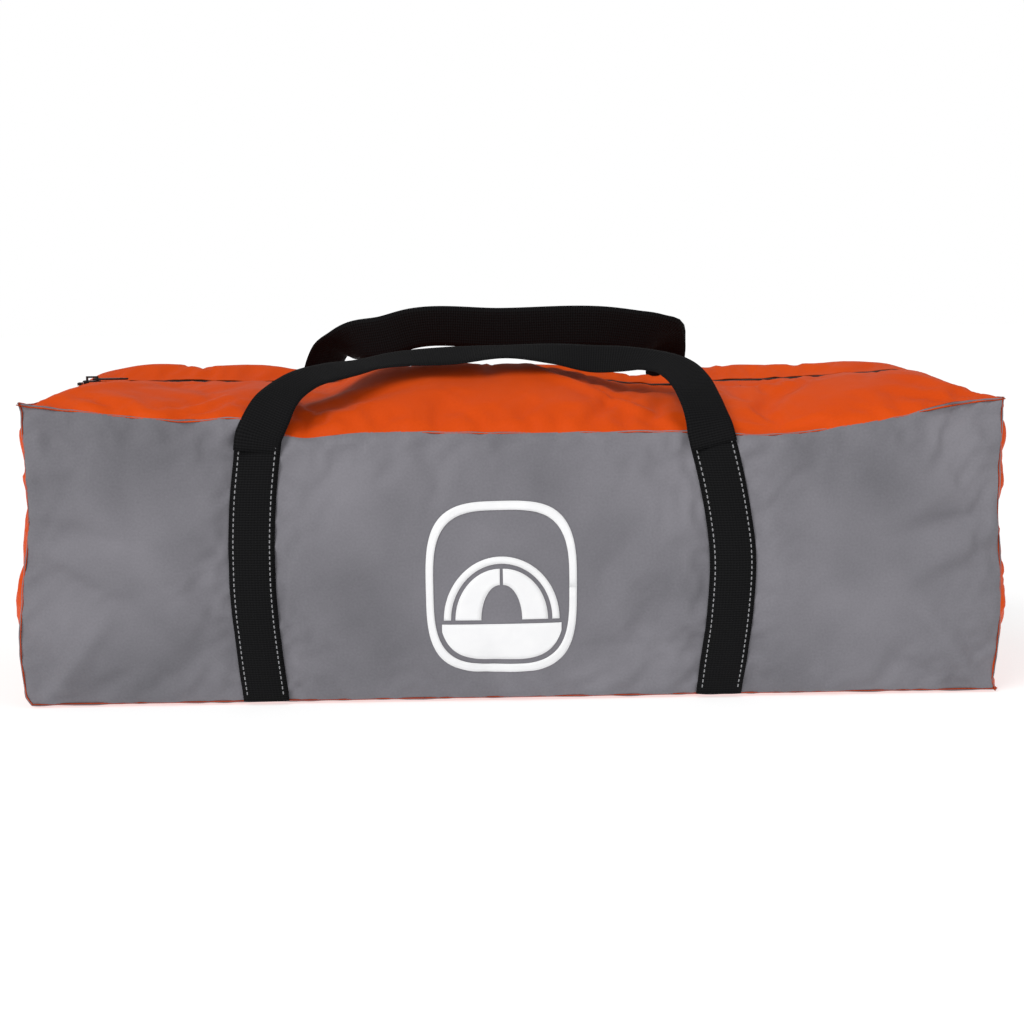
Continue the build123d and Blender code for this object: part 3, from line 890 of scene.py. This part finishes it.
def sewn_strap(name, node, tree, strap_x, face, materials):
    """Webbing sewn on a side panel; returns its middle at the top end and three rows below."""
    heights = np.linspace(STRAP_LOW_Z, STRAP_TOP_Z, 62)
    across = STRAP_ACROSS * WEBBING_WIDTH / 2
    rows = np.array([[surface_y(tree, strap_x(z) + a, z, face) for a in across] for z in heights])
    for _ in range(6):
        rows[1:-1] = (rows[:-2] + 2 * rows[1:-1] + rows[2:]) / 4
        rows[:, 1:-1] = (rows[:, :-2] + 2 * rows[:, 1:-1] + rows[:, 2:]) / 4
    x = np.array([strap_x(z) + across for z in heights])
    z = np.repeat(heights[:, None], len(across), axis=1)
    lift = WEBBING * (0.3 + 0.7 * strap_section(STRAP_ACROSS))[None, :]
    upper = np.stack([x, rows + face * (STRAP_FRONT + lift), z], axis=-1)
    lower = np.stack([x, rows + face * STRAP_BACK, z], axis=-1)
    points, faces = closed_band(upper, lower)
    if face > 0:
        faces = [one[::-1] for one in faces]
    weave = band_weave(points, len(heights), WEBBING_WIDTH)
    strap = new_piece(name, points, faces, materials["webbing"], weave)
    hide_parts(node)
    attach(strap, "root")
    add_stitching(name, upper, heights, across, face, materials["thread"])
    middle = len(across) // 2
    last, before = (upper[row][middle] * 0.5 + lower[row][middle] * 0.5 for row in (-1, -4))
    return last, before


def point_between(grid, row, column):
    """Point of a grid at a place between its rows and its columns."""
    low, share = int(row), row - int(row)
    line = (1 - share) * grid[low] + share * grid[min(low + 1, len(grid) - 1)]
    left, part = int(column), column - int(column)
    return (1 - part) * line[left] + part * line[min(left + 1, len(line) - 1)]


def add_stitching(name, upper, heights, across, face, material):
    """A row of short stitches near each edge of a sewn strap."""
    stitches = []
    for line in (-1, 1):
        column = np.interp(line * (WEBBING_WIDTH / 2 - STITCH_INSET), across, np.arange(len(across)))
        for low in np.arange(8, STRAP_TOP_Z - 6, STITCH_PITCH):
            rows = np.interp((low, low + STITCH), heights, np.arange(len(heights)))
            ends = [point_between(upper, row, column) for row in rows]
            stitches.append(stitch(*ends, np.array([0, face, 0.0])))
    thread = new_piece(name + "_stitching", *joined(stitches), material)
    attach(thread, "root")


def stitch(start, end, out, radius=0.42):
    """One short thread that rises out of the webbing and dips back in."""
    run = (end - start) / np.linalg.norm(end - start)
    across = np.cross(run, out)
    rings = []
    for share, rise, size in ((0.0, -0.35, 0.75), (0.2, 0.18, 1.0), (0.8, 0.18, 1.0), (1.0, -0.35, 0.75)):
        centre = start + (end - start) * share + out * rise
        for n in range(6):
            turn = 2 * math.pi * n / 6
            rings.append(centre + radius * size * (math.cos(turn) * across + math.sin(turn) * out))
    return np.array(rings), [[5, 4, 3, 2, 1, 0], [18, 19, 20, 21, 22, 23]] + ring_faces(4, 6)


def surface_y(tree, x, z, face):
    """Where the panel is at x and z; a ray can slip between two faces, so the next starts beside it."""
    for aside in (0.0, 0.07, -0.11):
        hit = tree.ray_cast(Vector((x + aside, face * 300, z + aside)), Vector((0, -face, 0)))[0]
        if hit is not None and face * hit.y > LEAST_PANEL_Y:
            return hit.y
    return face * MIDDLE_SEAM_Y


def smooth_path(stations, step=3.5):
    """Points and width directions every few millimetres through the stations."""
    stations = np.array(stations, float)
    chords = np.linalg.norm(np.diff(stations[:, :3], axis=0), axis=1)
    at = np.concatenate([[0], np.cumsum(chords)])
    places = np.linspace(0, at[-1], int(at[-1] / step))
    columns = [through(*zip(at, stations[:, n]))(places) for n in range(6)]
    centres = np.stack(columns[:3], axis=1)
    widths = np.stack(columns[3:], axis=1)
    tangents = np.gradient(centres, axis=0)
    tangents /= np.linalg.norm(tangents, axis=1, keepdims=True)
    widths -= tangents * np.sum(widths * tangents, axis=1, keepdims=True)
    widths /= np.linalg.norm(widths, axis=1, keepdims=True)
    return centres, widths, np.cross(tangents, widths)


FRONT_LOOP = [
    # x, y, z of the middle of the webbing, then the direction from its outer to its inner edge
    (-174, -120, 189, 1, 0, 0),
    (-170, -117, 200, 0.99, -0.08, -0.09),
    (-161, -110, 216, 0.92, -0.36, -0.12),
    (-148.5, -97.8, 226, 0.76, -0.61, -0.23),
    (-124, -74, 232.5, 0.39, -0.88, -0.28),
    (-104.5, -57, 235.2, 0.29, -0.94, -0.19),
    (-83.5, -48.2, 238.2, 0.19, -0.95, -0.26),
    (-43, -41.8, 240.2, 0.05, -0.94, -0.34),
    (-2, -39.5, 242.4, -0.02, -0.97, -0.24),
    (30, -39.5, 240.4, -0.06, -0.92, -0.4),
    (60, -38.5, 236.4, -0.1, -0.82, -0.56),
    (80, -41.5, 236.2, -0.15, -0.84, -0.52),
    (98.6, -48.2, 235.5, -0.24, -0.89, -0.39),
    (114.3, -62.8, 232, -0.51, -0.80, -0.32),
    (122.3, -79.6, 225.5, -0.63, -0.72, -0.27),
    (128, -100, 214.3, -0.85, -0.45, -0.1),
    (132.5, -116, 199, -0.96, -0.2, 0),
    (134, -119.5, 190, -1, 0, 0),
]
REAR_LOOP = [
    (-163, 119.5, 190, 1, 0, 0),
    (-156, 119.5, 205, 0.9, 0.3, -0.1),
    (-149, 114, 220, 0.86, 0.42, -0.08),
    (-145, 107, 230, 0.86, 0.45, -0.14),
    (-140, 100, 238, 0.72, 0.5, -0.32),
    (-129.6, 89.5, 242, 0.52, 0.45, -0.72),
    (-117.2, 76.5, 246.5, 0.25, 0.16, -0.95),
    (-97.3, 67.9, 249.4, 0.1, 0.12, -0.98),
    (-75, 63.7, 255.5, 0.02, 0.23, -0.97),
    (-6, 61.7, 255.1, 0, 0.2, -0.97),
    (79.5, 63.4, 254.7, -0.08, 0.21, -0.97),
    (99, 69, 252, -0.12, 0.25, -0.95),
    (114.5, 75, 249.5, -0.34, 0.2, -0.9),
    (124, 84, 245.2, -0.72, 0.1, -0.68),
    (126.4, 96, 237.5, -0.93, 0.25, -0.3),
    (127, 108, 227, -0.88, 0.4, -0.12),
    (128.5, 116, 213, -0.95, 0.25, -0.07),
    (131, 119.5, 200, -1, 0.05, 0),
    (132, 119.5, 190, -1, 0, 0),
]
FOLDED_CORNER = np.array([124, 84, 245.2])
CORNER_WIDENING, CORNER_REACH = 0.18, 7


def make_loop(name, node, stations, tops, face, materials):
    """The free webbing, which starts and ends flat on the tops of its two sewn straps."""
    stations = [list(station) for station in stations]
    for row, (last, before) in ((0, tops[0]), (-1, tops[1])):
        sideways = stations[row][3:]
        stations[row] = [last[0], last[1] + face * OVER_STRAP, last[2], *sideways]
        lower = [before[0], before[1] + face * OVER_STRAP, before[2], *sideways]
        stations.insert(0 if row == 0 else len(stations), lower)
    centres, widths, normals = smooth_path(stations)
    from_corner = np.linalg.norm(centres - FOLDED_CORNER, axis=1)
    widths *= 1 + CORNER_WIDENING * np.exp(-((from_corner / CORNER_REACH) ** 2))[:, None]
    points, faces = band_mesh(centres, widths, normals)
    weave = band_weave(points, len(centres), WEBBING_WIDTH)
    loop = new_piece(name, points, faces, materials["webbing"], weave)
    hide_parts(node)
    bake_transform(loop)
    return loop


# ---- Badge on the front ----
BADGE = (-10.2, 84.5)
BADGE_HALF = (52.0, 61.0)
GROUND_Z = -22.0
PRINT_LIFT, PRINT = 0.55, 0.4


def badge_point(turn, scale):
    """Point of a rounded upright outline."""
    c, s = math.cos(turn), math.sin(turn)
    power = 2 / 3.4
    return (
        scale * BADGE_HALF[0] * abs(c) ** power * math.copysign(1, c),
        scale * BADGE_HALF[1] * abs(s) ** power * math.copysign(1, s),
    )


def strip_between(low, high, columns):
    """Grid of (x, z) points between two lists of points, in rows of columns + 1."""
    low, high = np.array(low), np.array(high)
    share = np.linspace(0, 1, columns + 1)[None, :, None]
    return low[:, None] * (1 - share) + high[:, None] * share


def arch(turn, width, height):
    """Point on a half ellipse that stands on the badge's ground line."""
    return width * math.cos(turn), GROUND_Z + height * math.sin(turn)


def badge_shapes():
    """Ring, ground and the round end of a tunnel tent with its door, about the badge's middle."""
    turns = np.linspace(0, 2 * math.pi, 241)
    ring = strip_between([badge_point(t, 1.0) for t in turns], [badge_point(t, 0.9) for t in turns], 3)
    shapes = [ring]
    ground_turns = np.linspace(math.pi * 1.135, math.pi * 1.865, 60)
    rim = [badge_point(t, 0.84) for t in ground_turns]
    shapes.append(strip_between(rim, [(x, GROUND_Z - 3.0) for x, _ in rim], 9))
    half_turn = np.linspace(0, math.pi, 73)
    hoop = strip_between([arch(t, 40, 45) for t in half_turn], [arch(t, 35, 40) for t in half_turn], 2)
    shapes.append(hoop)
    for low, high in ((0.0, 0.5), (0.5, 1.0)):
        side = np.linspace(low * math.pi, high * math.pi, 37)
        shift = 1.1 if low == 0 else -1.1
        outer = [(x + shift * 0.9, z) for x, z in (arch(t, 31, 36.5) for t in side)]
        door = [(x + shift, z) for x, z in (arch(t, 13, 25) for t in side)]
        shapes.append(strip_between(outer, door, 5))
    return shapes


def make_badge(tree, materials):
    parts = []
    for shape in badge_shapes():
        x, z = shape[..., 0] + BADGE[0], shape[..., 1] + BADGE[1]
        y = np.array([[surface_y(tree, a, b, -1) for a, b in zip(*row)] for row in zip(x, z)])
        grid = np.stack([x, y - PRINT_LIFT, z], axis=-1)
        normals = np.zeros_like(grid)
        normals[..., 1] = -1
        quads = quads_of(grid.shape)
        a, b, c, _ = (grid.reshape(-1, 3)[quads[:, n]] for n in range(4))
        if np.cross(b - a, c - a)[:, 1].sum() > 0:
            quads = quads[:, ::-1]
        _, points, faces = thickened(grid.reshape(-1, 3), normals.reshape(-1, 3), quads, PRINT)
        parts.append((points, faces.tolist()))
    points, faces = joined(parts)
    weave = np.stack([points[:, 0], points[:, 2], points[:, 1] * 0], axis=-1)
    badge = new_piece("front_badge", points, faces, materials["ink"], weave)
    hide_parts("front_print")
    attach(badge, "root")


# ---- Packed tent ----
def box_mm(node):
    low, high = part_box(node)
    return np.array(low) / MM, np.array(high) / MM


def profile_band(line, depth):
    """Both sides of a thick line in (y, z), as (points, 2) grids."""
    run = np.gradient(line, axis=0)
    run /= np.linalg.norm(run, axis=1, keepdims=True)
    out = np.stack([run[:, 1], -run[:, 0]], axis=1)
    return line + out * depth / 2, line - out * depth / 2


def drawn_along_x(line, xs, depth, wobble, seed):
    """Closed thick sheet with the same (y, z) line along x, and ragged ends."""
    one, other = profile_band(line, depth)
    grids = []
    for side in (one, other):
        x = np.repeat(xs[:, None], len(line), axis=1)
        y = np.repeat(side[None, :, 0], len(xs), axis=0)
        z = np.repeat(side[None, :, 1], len(xs), axis=0)
        at = np.arange(len(line))[None, :]
        x = x + (np.abs(x) / np.abs(xs).max()) ** 8 * wobble * waves(at, 0 * at, 40, seed)
        grids.append(np.stack([x, y, z], axis=-1))
    return grids


def make_roll(node, name, material_name, materials, seed):
    """Cloth rolled up on itself, a little waisted under its two ties."""
    low, high = box_mm(node)
    middle = (low + high) / 2
    radius = (high[2] - low[2]) / 2 - 0.8
    turns, core, depth, tie_x, tie_reach = 8.0, 7.0, 3.1, 170, 26
    turn = np.linspace(0, 2 * math.pi * turns, int(26 * turns))
    reach = core + (radius - depth / 2 - core) * turn / turn[-1]
    line = np.stack([reach * np.cos(turn), reach * np.sin(turn)], axis=1)
    xs = np.linspace(low[0] + 3, high[0] - 3, 49)
    grids = drawn_along_x(line, xs, depth, 4.0, seed)
    for grid in grids:
        x, y, z = np.moveaxis(grid, -1, 0)
        out = np.hypot(y, z)
        angle = np.arctan2(z, y)
        waist = np.exp(-(((np.abs(x) - tie_x) / tie_reach) ** 2))
        swell = 1 - 0.012 - 0.030 * waist + 0.010 * waves(x, 40 * angle, 70, seed) * (out / radius)
        swell = np.minimum(swell, 1.0)
        grid[..., 1] = y * swell + middle[1]
        grid[..., 2] = z * swell + middle[2]
    points, faces = closed_band(*grids)
    piece = new_piece(name, points, faces, materials[material_name], points)
    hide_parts(node)
    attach(piece, "root")


def make_groundsheet(materials):
    """Sheet folded to and fro in five layers."""
    low, high = box_mm("groundsheet_fold")
    layers, depth = 5, 2.6
    pitch = (high[2] - low[2] - depth) / (layers - 1)
    reach = (high[1] - low[1]) / 2 - pitch / 2 - depth
    line = []
    for layer in range(layers):
        side = 1 if layer % 2 == 0 else -1
        height = low[2] + depth / 2 + layer * pitch
        for y in np.linspace(-side * reach, side * reach, 22):
            line.append((y, height + 0.4 * math.sin(y / 13 + layer)))
        if layer < layers - 1:
            for turn in np.linspace(-math.pi / 2, math.pi / 2, 8)[1:-1]:
                bend = pitch / 2
                line.append((side * (reach + bend * math.cos(turn)), height + bend + bend * math.sin(turn)))
    xs = np.linspace(low[0] + 4, high[0] - 4, 41)
    grids = drawn_along_x(np.array(line), xs, depth * 0.8, 3.0, 91)
    points, faces = closed_band(*grids)
    piece = new_piece("groundsheet", points, faces, materials["groundsheet"], points)
    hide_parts("groundsheet_fold")
    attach(piece, "root")


def make_pouch(node, name, squareness, seam, materials, seed):
    """Slack bag round a node's box, closed flat at both ends."""
    low, high = box_mm(node)
    middle, half = (low + high) / 2, (high - low) / 2
    xs = middle[0] + half[0] * np.sin(np.linspace(-math.pi / 2, math.pi / 2, 61))
    turns = np.linspace(0, 2 * math.pi, 49)
    x, turn = np.meshgrid(xs, turns, indexing="ij")
    share = np.abs(x - middle[0]) / half[0]
    close = np.sqrt(np.clip(1 - share ** (half[0] / seam), 0, 1))
    c, s = np.cos(turn), np.sin(turn)
    y = np.sign(c) * np.abs(c) ** squareness
    z = np.sign(s) * np.abs(s) ** squareness
    crumple = 1 - 0.018 + 0.016 * waves(x, 30 * turn, 34, seed) * np.sin(turn / 2) ** 2
    crumple = np.minimum(crumple, 1.0)
    grid = np.stack([
        x,
        middle[1] + half[1] * y * (0.9 + 0.1 * close) * crumple,
        middle[2] + half[2] * z * (0.05 + 0.95 * close) * crumple,
    ], axis=-1)
    grid[:, -1] = grid[:, 0]
    normals = grid_normals(grid, True)
    normals[:, 0] = normals[:, -1] = normals[:, 0] + normals[:, -1]
    normals /= np.maximum(np.linalg.norm(normals, axis=-1, keepdims=True), 1e-9)
    weave = np.stack([x, 27 * turn, 0 * x + 300], axis=-1)
    piece = cloth_piece(name, grid, normals, materials["small_bag"], weave, flip=True, depth=0.6)
    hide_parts(node)
    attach(piece, "root")


def make_contents(materials):
    make_roll("inner_tent_roll", "inner_tent", "inner", materials, 101)
    make_roll("flysheet_roll", "flysheet", "fly", materials, 102)
    make_groundsheet(materials)
    make_pouch("pole_bag", "pole_pouch", 1.0, 14.0, materials, 103)
    make_pouch("peg_bag", "peg_pouch", 0.45, 10.0, materials, 104)


def paint_cad_nodes(materials):
    looks = {
        "zip_metal": ["zip_top_stops", "zip_bottom_stop", "zip_slider", "zip_pull_tab"],
        "buckle": ["tie_buckles"],
        "steel": ["tent_pegs", "pole_end_tips"],
        "glass_fibre": [],
        "ties": ["inner_tent_ties", "flysheet_ties"],
    }
    for hoop in ("front", "middle", "rear"):
        looks["glass_fibre"].append(f"{hoop}_hoop_sections")
        looks["steel"].append(f"{hoop}_hoop_ferrules")
    for look, nodes in looks.items():
        for node in nodes:
            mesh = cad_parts[node].data
            mesh.materials.clear()
            mesh.materials.append(materials[look])


# ---- Camera, light and floor, metres ----
LENS, SENSOR, LENS_SHIFT = 63.1, 36, (0.0034, 0.0254)
CAMERA_PLACE, CAMERA_TURN = (-0.028, -1.338, 0.312), (81, 0.7, -1.2)
AIM = (0, 0, 0.1)
SUN_ANGLE, SOFTBOX_SIZE = 32, 1.2
WORLD_LIGHT, SEEN_WORLD = 0.44, 1.0
FLOOR_HALF, FLOOR_GREY, FLOOR_GLOW = 6, 0.45, 0.67


def add_light(scene, name, kind, place, power):
    light = bpy.data.objects.new(name, bpy.data.lights.new(name, kind))
    if kind == "SUN":
        light.data.angle = math.radians(SUN_ANGLE)
    else:
        light.data.shape = "SQUARE"
        light.data.size = SOFTBOX_SIZE
    light.data.energy = power
    light.location = place
    light.rotation_euler = (Vector(AIM) - Vector(place)).to_track_quat("-Z", "Y").to_euler()
    scene.collection.objects.link(light)


def make_stage():
    scene = bpy.context.scene
    camera = bpy.data.objects.new("camera", bpy.data.cameras.new("camera"))
    camera.data.lens = LENS
    camera.data.sensor_width = SENSOR
    camera.data.shift_x, camera.data.shift_y = LENS_SHIFT
    camera.location = CAMERA_PLACE
    camera.rotation_euler = [math.radians(turn) for turn in CAMERA_TURN]
    scene.collection.objects.link(camera)
    scene.camera = camera

    world = bpy.data.worlds.new("studio")
    world.use_nodes = True
    nodes, links = world.node_tree.nodes, world.node_tree.links
    nodes["Background"].inputs["Strength"].default_value = WORLD_LIGHT
    seen = nodes.new("ShaderNodeBackground")
    seen.inputs["Strength"].default_value = SEEN_WORLD
    for background in (nodes["Background"], seen):
        background.inputs["Color"].default_value = (1, 1, 1, 1)
    mixed = nodes.new("ShaderNodeMixShader")
    links.new(nodes.new("ShaderNodeLightPath").outputs["Is Camera Ray"], mixed.inputs[0])
    links.new(nodes["Background"].outputs[0], mixed.inputs[1])
    links.new(seen.outputs[0], mixed.inputs[2])
    links.new(mixed.outputs[0], nodes["World Output"].inputs["Surface"])
    scene.world = world
    add_light(scene, "key", "SUN", (-0.9, -1.0, 1.35), 1.65)
    add_light(scene, "softbox", "AREA", (1.1, -1.3, 1.5), 6)

    floor_mesh = bpy.data.meshes.new("floor")
    corners = [(x * FLOOR_HALF, y * FLOOR_HALF, 0) for x, y in ((-1, -1), (1, -1), (1, 1), (-1, 1))]
    floor_mesh.from_pydata(corners, [], [(0, 1, 2, 3)])
    floor = bpy.data.objects.new("floor", floor_mesh)
    grey = (FLOOR_GREY, FLOOR_GREY, FLOOR_GREY, 1)
    look = Look("floor_paint", Base_Color=grey, Roughness=0.9, Specular_IOR_Level=0.1)
    look.shader.inputs["Emission Color"].default_value = (1, 1, 1, 1)
    look.shader.inputs["Emission Strength"].default_value = FLOOR_GLOW
    floor_mesh.materials.append(look.material)
    scene.collection.objects.link(floor)
    scene.view_settings.view_transform = "Standard"


def make_bag(materials):
    grids = shell_grids()
    ids = lattice_ids(grids)
    grids = raised(grids, ids)
    grids = settled(grids, ids)
    grids = {name: finer(grid) for name, grid in grids.items()}
    points = np.concatenate([grid.reshape(-1, 3) for grid in grids.values()])
    quads, shift = [], 0
    for name, grid in grids.items():
        quads.append(quads_of(grid.shape, flip=OUTWARD_FLIP[name]) + shift)
        shift += grid.shape[0] * grid.shape[1]
    tree = BVHTree.FromPolygons(points.tolist(), np.concatenate(quads).tolist())
    make_panels(grids, materials)
    make_zip(materials)
    tops = []
    for face, name, straps in ((-1, "front", FRONT_STRAP_X), (1, "rear", REAR_STRAP_X)):
        for end, strap_x in zip(("left", "right"), straps):
            piece = f"{name}_{end}_strap"
            tops.append(sewn_strap(piece, f"{name}_{end}_webbing", tree, strap_x, face, materials))
    make_loop("front_handle_loop", "front_handle_grip", FRONT_LOOP, tops[:2], -1, materials)
    make_loop("rear_handle_loop", "rear_handle_grip", REAR_LOOP, tops[2:], 1, materials)
    make_badge(tree, materials)


def main():
    make_stage()
    materials = make_materials()
    make_bag(materials)
    make_contents(materials)
    paint_cad_nodes(materials)


main()
